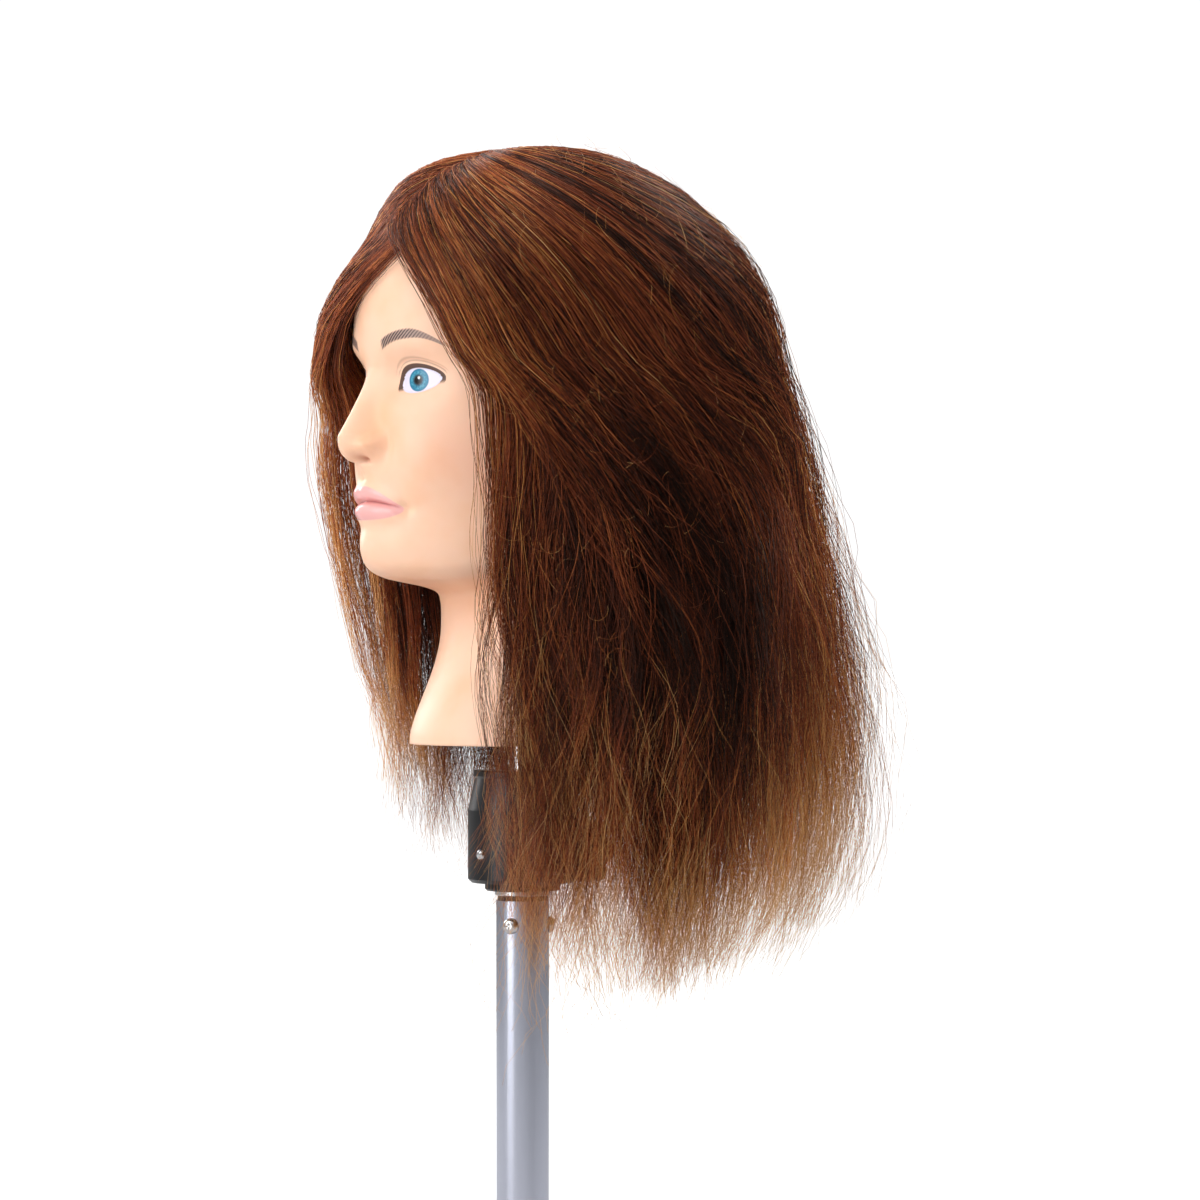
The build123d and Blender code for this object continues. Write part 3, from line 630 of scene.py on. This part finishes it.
# way down from the crown, and the angle from the front at which the painted shade layer starts there
LAYER_OPENING = np.array([
    (0.0, 60), (0.12, 88), (0.30, 96), (0.60, 74), (0.90, 64), (1.2, 66), (1.5, 68), (2.0, 76), (2.5, 92),
])
LAYER_FOOT = 330


def hair_shape(phi, v, depth, side):
    """Points of the hair from the angle from the front, the way down from the crown (1 at the widest) and
    the depth (0 on the scalp, 1 outside). side is +1 on the head's left and -1 on its right."""
    low = EQUATOR_Z - np.maximum(v - 1, 0) * DROP
    dome = np.clip(v, 0, 1)
    swell, rise = np.sin(dome * math.pi / 2), np.cos(dome * math.pi / 2)
    ends = []
    for table, top, bulge in (
        (HAIR_INNER, SCALP_TOP, 2.45 + 0 * phi),
        (HAIR_OUTER, HAIR_TOP, 2.2 + 0.35 * np.cos(phi)),
    ):
        half, front, back, power = rows_at(table, low)
        power = 2 + (power - 2) * dome
        r = outline_radius(phi, half, front + AXIS_Y, back - AXIS_Y, power) * swell ** (2 / bulge)
        ends.append((r, low + (top - EQUATOR_Z) * np.maximum(rise, 0) ** (2 / bulge)))
    (r0, z0), (r1, z1) = ends
    pull_right = np.interp(
        z1, [284, 327, 369, 390, 411, 433, 454, 475, 517, 538, 560, 581, 600],
        [0.68, 0.86, 0.95, 0.98, 1.0, 1.04, 1.05, 1.02, 1.0, 0.95, 0.88, 0.92, 1.0],
    )
    pull_left = np.interp(z1, [284, 316, 459, 560], [0.80, 0.82, 0.88, 1.0])
    pull = np.where(side > 0, pull_left, pull_right)
    pull = 1 + (pull - 1) * (1 - step(np.abs(phi), math.radians(48), math.radians(92)))
    r = r0 + (r1 * pull - r0) * depth
    z = z0 + (z1 - z0) * depth
    x = r * np.sin(phi) * side
    y = AXIS_Y - r * np.cos(phi)
    return np.stack([x, y, z], axis=-1)


def soft_limit(value, start, room):
    """The value itself up to start, and never more than start plus room."""
    return np.where(value > start, start + room * np.tanh((value - start) / room), value)


def clear_of_holder(points):
    """Hair stays near its outline, and below the head it keeps outside the room that the tilting holder
    sweeps, which widens downward."""
    r = np.hypot(points[..., 0], points[..., 1])
    need = (CLEAR_RADIUS + 0.28 * np.maximum(200 - points[..., 2], 0)) * step(points[..., 2], 318, 300)
    push = np.where(r < need, need / np.maximum(r, 1), 1)
    points = points.copy()
    points[..., 0] *= push
    points[..., 1] *= push
    points[..., 0] = np.sign(points[..., 0]) * soft_limit(np.abs(points[..., 0]), *SIDE_LIMIT)
    points[..., 1] = soft_limit(points[..., 1], *BACK_LIMIT)
    return points


def directions(paths):
    """Unit tangent, outward and sideways directions along each path."""
    along = np.gradient(paths, axis=1)
    along /= np.linalg.norm(along, axis=-1, keepdims=True) + 1e-9
    outward = paths - np.array([0, AXIS_Y, 440.0])
    outward[..., 2] = np.maximum(outward[..., 2] - 40, 0)
    outward -= (outward * along).sum(-1, keepdims=True) * along
    outward /= np.linalg.norm(outward, axis=-1, keepdims=True) + 1e-9
    return along, outward, np.cross(along, outward)


def run_lengths(paths):
    steps = np.linalg.norm(np.diff(paths, axis=1), axis=-1)
    return np.concatenate([np.zeros((len(paths), 1)), np.cumsum(steps, axis=1)], axis=1)


def waves(count, length, low, high):
    """Waves of random length and phase along each run, one row for each path."""
    wavelength = rng.uniform(low, high, (count, 1))
    phase = rng.uniform(0, 2 * math.pi, (count, 1))
    return np.sin(length / wavelength * 2 * math.pi + phase)


def hang_angle(share, side):
    """The angle from the front at which hair of this share comes to hang."""
    first = np.where(np.asarray(side) > 0, math.radians(47), math.radians(43.5))
    return first + (math.pi - first) * share


def parting_paths(share, side, depth, tip, crossing, knots):
    """Hair from the parting, sweeping down and round to where it hangs. share is 0 beside the face and 1
    at the back, and crossing is the angle by which a root stands off the parting line."""
    t = np.linspace(0, 1, knots)[None, :]
    share, side, depth, tip = [np.asarray(value)[:, None] for value in (share, side, depth, tip)]
    root = 0.60 - 0.59 * np.clip(share, 0, 1)
    end = 1 + (EQUATOR_Z - tip) / DROP
    v = root + (end - root) * t**1.15
    hang = hang_angle(share, side)
    arrive_left = np.interp(
        share, [0, 0.1, 0.22, 0.36, 0.6, 0.8, 0.92, 1], [1.22, 1.5, 2.1, 2.5, 2.0, 1.3, 0.5, 0.04]
    )
    left = 1 - (1 - np.clip((v - root) / (arrive_left - root), 0, 1)) ** 1.6
    arrive_right = np.interp(share, [0, 0.6, 0.8, 0.92, 1], [1.34, 0.95, 0.75, 0.35, 0.04])
    right = 0.5 - 0.5 * np.cos(math.pi * np.clip((v - root) / (arrive_right - root), 0, 1))
    right = right + (left - right) * step(share, 0.08, 0.4)
    origin = (PARTING + crossing[:, None] * (1 - 0.5 * share)) * side
    phi = origin + (hang - origin) * np.where(side > 0, left, right)
    phi = phi + math.radians(2) * (1 - share) ** 3 * step(v, 2.0, 3.0) * (side > 0)
    run = (v - root) * 150
    lift = step(run, -14 - 70 * np.clip(share, 0, 1) ** 3, 36)
    return hair_shape(phi, v, depth * lift, side)


def hanging_paths(phi, root, side, depth, tip, knots):
    """Hair rooted lower on the scalp, falling straight."""
    t = np.linspace(0, 1, knots)[None, :]
    phi, root, side, depth, tip = [np.asarray(value)[:, None] for value in (phi, root, side, depth, tip)]
    end = 1 + (EQUATOR_Z - tip) / DROP
    v = root + (end - root) * t
    lift = step((v - root) * 130, -4, 60)
    return hair_shape(phi + 0 * t, v, depth * lift, side)


def strands_of(locks_paths, own_paths, lock_of, gather, wave, frizz):
    """Strands drawn together toward their lock, waved with it and frizzed on their own."""
    count, knots = own_paths.shape[:2]
    t = np.linspace(0, 1, knots)[None, :, None]
    guide = locks_paths[lock_of]
    together = gather[lock_of][:, None, None] * step(t, 0.25, 1.0)
    paths = own_paths + (guide - own_paths) * together
    along, outward, sideways = directions(guide)
    lock_runs = run_lengths(locks_paths)
    size = wave[lock_of][:, None] * step(lock_runs, 70, 380)[lock_of]
    side_wave = waves(len(locks_paths), lock_runs, 95, 175)[lock_of]
    out_wave = waves(len(locks_paths), lock_runs, 90, 160)[lock_of]
    paths = paths + sideways * (size * side_wave)[..., None] + outward * (size * 0.5 * out_wave)[..., None]
    own_run = run_lengths(paths)
    amount = frizz[:, None] * (0.15 * step(own_run, 10, 60) + 0.85 * step(own_run, 190, 430))
    small = waves(count, own_run, 48, 95)
    smaller = waves(count, own_run, 30, 46) * 0.4
    outer_small = waves(count, own_run, 45, 90)
    stray = step(own_run, 120, 460)[..., None] ** 2
    lock_drift = rng.normal(0, 14, (len(locks_paths), 1, 1))[lock_of]
    own_drift = rng.normal(0, 8, (count, 1, 1))
    drift = sideways * (lock_drift + own_drift) + outward * rng.normal(2, 6, (count, 1, 1))
    paths = paths + sideways * (amount * (small + smaller))[..., None] + drift * stray
    return paths + outward * (amount * outer_small * 0.7)[..., None]


def tubes(paths, width, taper):
    """Closed three-sided tubes: points, quads along every path, and the triangles that close the ends."""
    count, knots = paths.shape[:2]
    along, outward, sideways = directions(paths)
    t = np.linspace(0, 1, knots)[None, :]
    radius = 0.5 * width[:, None] * (1 - (1 - taper) * t**1.6) * step(t, -0.08, 0.04)
    rings = []
    for angle in (0, 2 * math.pi / 3, 4 * math.pi / 3):
        offset = outward * math.cos(angle) + sideways * math.sin(angle)
        rings.append(paths + offset * radius[..., None])
    points = np.stack(rings, axis=2).reshape(-1, 3)
    index = np.arange(count * knots * 3).reshape(count, knots, 3)
    ahead, turned = index[:, 1:], np.roll(index, -1, axis=2)
    quads = np.stack([index[:, :-1], turned[:, :-1], turned[:, 1:], ahead], axis=-1).reshape(-1, 4)
    caps = np.concatenate([index[:, 0, ::-1], index[:, -1]])
    return points, quads, caps


def shade_rings(paths, base, tip_gold_and_backlight):
    """A shade number for every stretch of every strand: random tone, lighter tips that are partly painted
    backlight, painted shade in the hanging hair at the sides, and painted light beside the face, along the
    back edge, at the far side's front edge and on the lowest hair."""
    count, knots = paths.shape[:2]
    t = np.linspace(0, 1, knots - 1)[None, :]
    middle = 0.5 * (paths[:, 1:] + paths[:, :-1])
    angle = np.degrees(np.arctan2(middle[..., 0], AXIS_Y - middle[..., 1]))
    z = middle[..., 2]
    # lighter tips: partly the hair's own lighter ends, partly painted backlight
    tone = base[:, None] + tip_gold_and_backlight[:, None] * step(t, 0.65, 1.0) + rng.normal(0, 0.22, (count, knots - 1))
    # painted shade in the hanging hair at the sides
    tone -= 2.3 * np.exp(-(((np.abs(angle) - 106) / 36) ** 2) - ((z - 325) / 125) ** 2)
    # painted light on the hair beside the face
    tone += 0.9 * hill(np.abs(angle) - 40, 20) * step(z, 280, 400)
    # painted backlight along the back edge
    tone += 1.9 * hill(np.abs(angle) - 158, 20) * step(z, 540, 380)
    # painted backlight on the far side's front edge, stronger lower down
    tone += (1.0 + 1.0 * step(z, 340, 280)) * hill(angle + 42, 18)
    # painted backlight on the lower back hair
    tone += 1.3 * hill(np.abs(angle) - 150, 40) * step(z, 330, 230)
    # lighter ends and lowest hair: partly their own colour, partly painted backlight
    tone += 2.3 * step(t, 0.80, 1.0) + 1.8 * step(z, 235, 180)
    return np.clip(np.round(tone), 0, len(SHADES) - 1).astype(int)


def hair_materials():
    materials = []
    for i, code in enumerate(SHADES):
        material = finish(f"hair_shade_{i}", linear(code), roughness=0.38, specular=0.38)
        material.node_tree.nodes["Principled BSDF"].inputs["Specular Tint"].default_value = (*SHEEN, 1)
        materials.append(material)
    return materials


def add_hair_pieces(name, node, paths, width, taper, tone, materials):
    """Hair cut into pieces of a size that a viewer can take, each standing for one CAD node."""
    for number, start in enumerate(range(0, len(paths), STRANDS_PER_PIECE)):
        part = slice(start, start + STRANDS_PER_PIECE)
        points, quads, caps = tubes(paths[part], width[part], taper)
        flat = tone[part]
        index = np.concatenate([np.repeat(flat.ravel(), 3), flat[:, 0], flat[:, -1]])
        obj = mesh_object(f"{name}_{number:02d}", points, [quads, caps], materials, index)
        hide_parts(node)


def tip_height(phi, side, scatter, power):
    """Heights of the tips at an angle from the front, a random way above the longest ones."""
    degrees = np.degrees(np.abs(phi))
    left = np.interp(degrees, LEFT_TIPS[:, 0], LEFT_TIPS[:, 1])
    right = np.interp(degrees, RIGHT_TIPS[:, 0], RIGHT_TIPS[:, 1])
    return np.where(side > 0, left, right) + scatter * rng.random(len(phi)) ** power


def add_parting_hair(side, locks, per_lock, materials):
    """The top hair of one side of the head, from the parting out."""
    name = "hair_left" if side > 0 else "hair_right"
    share = (np.arange(locks) + rng.random(locks)) / locks
    depth = 0.38 + 0.62 * rng.random(locks) ** 0.8
    level = np.full(locks, side)
    lock_tip = tip_height(hang_angle(share, level), level, 120, 1.3)
    knots = 34
    guides = parting_paths(share, level, depth, lock_tip, np.zeros(locks), knots)
    lock_of = np.repeat(np.arange(locks), per_lock)
    count = len(lock_of)
    own_share = np.clip(share[lock_of] + rng.normal(0, 0.030, count), -0.055, 1)
    own_depth = np.clip(depth[lock_of] + rng.normal(0, 0.09, count), 0.15, 1.06)
    own_tip = lock_tip[lock_of] + rng.normal(0, 14, count) + 90 * rng.random(count) ** 2
    crossing = rng.normal(-0.03, 0.07, count)
    own = parting_paths(own_share, level[lock_of], own_depth, own_tip, crossing, knots)
    gather = rng.uniform(0.5, 0.97, locks)
    wave = rng.uniform(2.5, 11.5, locks)
    frizz = rng.uniform(0.5, 2.3, count)
    paths = clear_of_holder(strands_of(guides, own, lock_of, gather, wave, frizz))
    lock_tone = np.clip(rng.normal(2.2 if side > 0 else 2.7, 1.15, locks), 0.3, 4.6)
    base = lock_tone[lock_of] + rng.normal(0, 0.6, count)
    base += 1.8 * (rng.random(count) < 0.1)
    tip_gold_and_backlight = rng.uniform(0.2, 1.8, locks)[lock_of] + rng.normal(0.3, 0.6, count)
    tone = shade_rings(paths, base, tip_gold_and_backlight)
    width = rng.uniform(0.28, 0.46, count)
    back = own_share > 0.62
    for part, node in ((~back, name), (back, "hair_back")):
        label = f"{name}_{'back' if node == 'hair_back' else 'side'}"
        add_hair_pieces(label, node, paths[part], width[part], 0.25, tone[part], materials)


def add_under_hair(locks, per_lock, materials):
    """The hair beneath, rooted round the sides and back of the scalp."""
    side = np.where(rng.random(locks) < 0.58, 1.0, -1.0)
    phi = np.radians(rng.uniform(54, 180, locks))
    root = rng.uniform(0.35, 1.35, locks)
    depth = rng.uniform(0.12, 0.62, locks)
    lock_tip = tip_height(phi, side, 110, 1.2)
    knots = 22
    guides = hanging_paths(phi, root, side, depth, lock_tip, knots)
    lock_of = np.repeat(np.arange(locks), per_lock)
    count = len(lock_of)
    own_phi = phi[lock_of] + rng.normal(0, 0.07, count)
    own_depth = np.clip(depth[lock_of] + rng.normal(0, 0.1, count), 0.05, 0.8)
    own_tip = lock_tip[lock_of] + rng.normal(0, 15, count)
    own = hanging_paths(own_phi, root[lock_of], side[lock_of], own_depth, own_tip, knots)
    gather = rng.uniform(0.3, 0.8, locks)
    wave = rng.uniform(4.0, 11.0, locks)
    frizz = rng.uniform(0.8, 2.8, count)
    paths = clear_of_holder(strands_of(guides, own, lock_of, gather, wave, frizz))
    # a darker base tone: painted shade of the hair that lies beneath
    base = np.clip(rng.normal(1.4, 0.7, locks), 0, 3.2)[lock_of] + rng.normal(0, 0.6, count)
    tip_gold_and_backlight = rng.uniform(0.8, 3.4, count)
    tone = shade_rings(paths, base, tip_gold_and_backlight)
    width = rng.uniform(0.32, 0.5, count)
    add_hair_pieces("hair_under", "hair_back", paths, width, 0.25, tone, materials)


def add_flyaways(count, materials):
    """Loose golden hairs that stand off the outline; their light tone is partly painted backlight."""
    side = np.where(rng.random(count) < 0.62, 1.0, -1.0)
    share = rng.uniform(-0.05, 1, count)
    depth = rng.uniform(0.85, 1.08, count)
    tip = tip_height(hang_angle(share, side), side, 150, 1.0) - 45 * rng.random(count) ** 3
    knots = 30
    own = parting_paths(share, side, depth, tip, rng.normal(0, 0.12, count), knots)
    wave = rng.uniform(3, 13, count)
    frizz = rng.uniform(1.2, 3.8, count)
    paths = strands_of(own, own, np.arange(count), np.zeros(count), wave, frizz)
    paths = clear_of_holder(paths)
    # light tones: partly painted backlight on these thin outer hairs
    tone = shade_rings(paths, rng.uniform(2.6, 5.6, count), rng.uniform(1.0, 3.0, count))
    width = rng.uniform(0.22, 0.34, count)
    add_hair_pieces("hair_loose", "hair_crown", paths, width, 0.4, tone, materials)


def add_long_strays(count, materials):
    """A few pale hairs that hang below the rest, in front of the mast; their pale tone is partly painted
    backlight.
    """
    side = np.ones(count)
    share = rng.uniform(0.02, 0.24, count)
    tip = rng.uniform(120, 190, count)
    knots = 46
    own = parting_paths(share, side, rng.uniform(0.3, 0.9, count), tip, np.zeros(count), knots)
    wave, frizz = rng.uniform(4, 12, count), rng.uniform(2.0, 5.0, count)
    paths = clear_of_holder(strands_of(own, own, np.arange(count), np.zeros(count), wave, frizz))
    # light tones: partly painted backlight on these thin outer hairs
    tone = shade_rings(paths, rng.uniform(3.0, 5.0, count), rng.uniform(1.0, 2.0, count))
    width = rng.uniform(0.26, 0.34, count)
    add_hair_pieces("hair_wisp", "hair_left", paths, width, 0.5, tone, materials)


def add_short_strays(count, materials):
    """Short bright hairs that curl off the surface, most of them over the crown and the sides; their bright
    tone is partly painted backlight.
    """
    knots = 12
    t = np.linspace(0, 1, knots)[None, :]
    side = np.where(rng.random(count) < 0.6, 1.0, -1.0)
    phi = rng.uniform(0.95, math.pi, count)
    v = rng.uniform(0.15, 2.6, count)
    length = rng.uniform(12, 42, count)
    turn = rng.normal(0, 0.5, count)
    bend = rng.normal(0, 2.2, count)
    heading = turn[:, None] + bend[:, None] * t
    move = length[:, None] / (knots - 1)
    down = np.cumsum(np.cos(heading) * move, axis=1) / DROP
    across = np.cumsum(np.sin(heading) * move, axis=1) / 110
    rise = rng.uniform(1, 8, count)[:, None] * t**1.5
    paths = hair_shape(phi[:, None] + across, v[:, None] + down, 0.96 + 0 * t, side[:, None])
    outward = directions(paths)[1]
    paths = clear_of_holder(paths + outward * rise[..., None])
    # bright tones: partly painted backlight on these thin outer hairs
    tone = shade_rings(paths, rng.uniform(4.0, 7.0, count), np.zeros(count))
    width = rng.uniform(0.18, 0.28, count)
    add_hair_pieces("hair_stray", "hair_crown", paths, width, 0.4, tone, materials)


def add_shade_layer():
    """A closed layer of painted shade close to the scalp, dark so that no light shows between the strands.
    """
    rows, columns = 60, 72
    v = np.linspace(0.005, 1 + (EQUATOR_Z - LAYER_FOOT) / DROP, rows)[:, None]
    opening = np.interp(v, LAYER_OPENING[:, 0], LAYER_OPENING[:, 1])
    u = np.linspace(-1, 1, columns)[None, :]
    turn = math.pi + u * (math.pi - np.radians(opening))
    phi = np.where(turn > math.pi, 2 * math.pi - turn, turn)
    side = np.where(u > 0, -1.0, 1.0) + 0 * v
    layers = []
    for depth in (0.30, 0.12):
        crown = 0.18 * step(v, 0.5, 0.05)
        layers.append(clear_of_holder(hair_shape(phi, v + 0 * u, depth + crown, side)))
    points = np.concatenate([layer.reshape(-1, 3) for layer in layers])
    grid = np.arange(rows * columns).reshape(rows, columns)
    inner = grid + rows * columns
    quads = [
        np.stack([grid[:-1, :-1], grid[1:, :-1], grid[1:, 1:], grid[:-1, 1:]], axis=-1).reshape(-1, 4),
        np.stack([inner[:-1, :-1], inner[:-1, 1:], inner[1:, 1:], inner[1:, :-1]], axis=-1).reshape(-1, 4),
    ]
    for edge, flip in ((grid[0], 1), (grid[-1], -1), (grid[:, 0], -1), (grid[:, -1], 1)):
        edge = edge[::flip]
        far = edge + rows * columns
        quads.append(np.stack([edge[:-1], edge[1:], far[1:], far[:-1]], axis=-1))
    shade_finish = finish("hair_painted_shade", linear(SHADES[0]), roughness=0.9, specular=0.1)
    obj = mesh_object("hair_painted_shade_layer", points, quads, [shade_finish])
    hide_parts("hair_crown")


# ---------------------------------------------------------------- holder
def holder_materials():
    """A finish for every CAD node that is still shown."""
    aluminium = surface_detail(
        finish("anodised_aluminium", (0.58, 0.60, 0.70), metallic=1.0), 900, 0.05, 0.22, 0.28, (1, 1, 0.02)
    )
    steel = surface_detail(
        finish("polished_steel", (0.62, 0.62, 0.63), metallic=1.0), 300, 0.02, 0.14, 0.24
    )
    collar = surface_detail(finish("bright_collar", (0.72, 0.72, 0.73), metallic=1.0), 400, 0.03, 0.2, 0.3)
    black = surface_detail(
        finish("black_plastic", (0.008, 0.008, 0.009), specular=0.36), 1400, 0.15, 0.26, 0.36
    )
    rubber = surface_detail(finish("black_rubber", (0.012, 0.012, 0.012)), 900, 0.3, 0.6, 0.8)
    grey = surface_detail(finish("grey_plastic", (0.16, 0.16, 0.17)), 900, 0.1, 0.45, 0.6)
    bronze = surface_detail(finish("bronze", (0.55, 0.33, 0.16), metallic=1.0), 500, 0.05, 0.25, 0.38)
    nylon = surface_detail(finish("white_nylon", (0.75, 0.74, 0.70)), 500, 0.05, 0.4, 0.5)
    socket = surface_detail(finish("socket_plastic", (0.70, 0.62, 0.52)), 600, 0.08, 0.45, 0.6)
    return {
        "mast_alu": aluminium,
        "steel": steel,
        "black_plastic": black,
        "seal_rubber": rubber,
        "collar_metal": collar,
        "plug_plastic": black,
        "knuckle_metal": steel,
        "bronze": bronze,
        "nylon": nylon,
        "mandrel_plastic": black,
        "grip_rubber": grey,
        "socket_plastic": socket,
    }


def dress_holder():
    by_slot = holder_materials()
    slots = {row["node"]: row["material_slot"] for row in frame["record"]["subparts"]}
    for name, obj in frame["nodes"].items():
        if obj.hide_render:
            continue
        obj.data.materials.clear()
        obj.data.materials.append(by_slot[slots[name]])


# ---------------------------------------------------------------- the scene
add_camera()
studio()
add_floor()
add_head()
shades = hair_materials()
add_shade_layer()
add_under_hair(locks=160, per_lock=26, materials=shades)
add_parting_hair(1.0, locks=240, per_lock=34, materials=shades)
add_parting_hair(-1.0, locks=180, per_lock=27, materials=shades)
add_flyaways(700, shades)
add_long_strays(70, shades)
add_short_strays(520, shades)
dress_holder()
